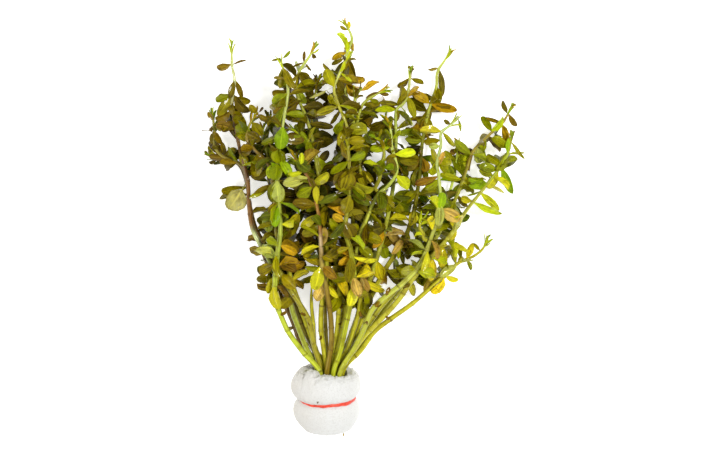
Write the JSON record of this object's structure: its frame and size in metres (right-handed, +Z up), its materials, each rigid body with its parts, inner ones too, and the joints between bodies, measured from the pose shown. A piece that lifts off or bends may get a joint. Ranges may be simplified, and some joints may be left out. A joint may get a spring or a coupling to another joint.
{
  "type": "bunch of rotala ramosior stems",
  "caption": "Cut bunch of leafy aquarium plant stems lying fanned out, bases rolled in white foam and held by a red rubber band.",
  "frame": {"origin": "middle of the flat patch under the foam's upper lobe, on the surface that the bunch lies on", "axes": "+Y from the foam towards the stem tips, +X to the right seen from above, +Z up"},
  "size_m": [0.16, 0.2089, 0.0459],
  "materials": {
    "filter_foam": "soft open-celled white foam",
    "coral_rubber": "satin coral-red rubber",
    "living_stem": "wet olive and yellow-green leaves and stems"
  },
  "bodies": {
    "root": {"foam_wrap": "filter_foam", "rubber_band": "coral_rubber", "stem_01": "living_stem", "stem_02": "living_stem", "stem_03": "living_stem", "stem_04": "living_stem", "stem_05": "living_stem", "stem_06": "living_stem", "stem_07": "living_stem", "stem_08": "living_stem", "stem_09": "living_stem", "stem_10": "living_stem", "stem_11": "living_stem", "stem_12": "living_stem", "stem_13": "living_stem", "stem_14": "living_stem", "stem_15": "living_stem", "stem_16": "living_stem", "stem_17": "living_stem", "stem_18": "living_stem", "stem_19": "living_stem", "stem_20": "living_stem", "stem_21": "living_stem", "stem_22": "living_stem", "side_shoot_1": "living_stem", "side_shoot_2": "living_stem", "side_shoot_3": "living_stem"}
  },
  "joints": []
}
